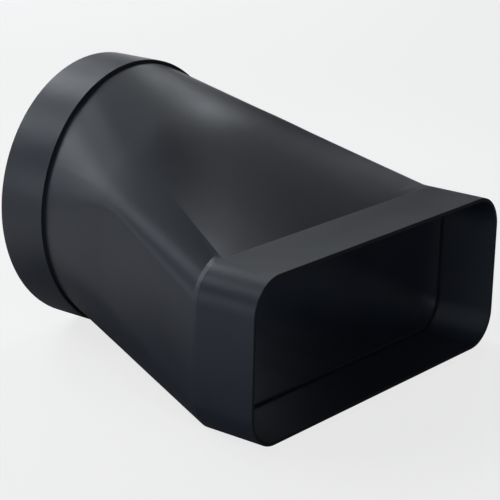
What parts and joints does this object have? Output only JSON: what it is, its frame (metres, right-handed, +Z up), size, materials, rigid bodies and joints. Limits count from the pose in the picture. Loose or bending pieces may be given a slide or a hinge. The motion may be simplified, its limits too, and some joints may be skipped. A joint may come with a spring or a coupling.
{
  "type": "round to flat duct adapter",
  "caption": "Moulded plastic ventilation adapter joining a round duct to a flat rectangular duct, with a socket collar at the round end and a flush underside.",
  "frame": {"origin": "under the middle of the part, on the plane that its underside rests on", "axes": "+Z up; +Y along the air's way, out of the round socket; -Y out of the flat mouth; X across the flat mouth's width"},
  "size_m": [0.222, 0.206, 0.1546],
  "materials": {
    "body_plastic": "satin black moulded plastic"
  },
  "bodies": {
    "root": {"adapter_body": "body_plastic"}
  },
  "joints": []
}
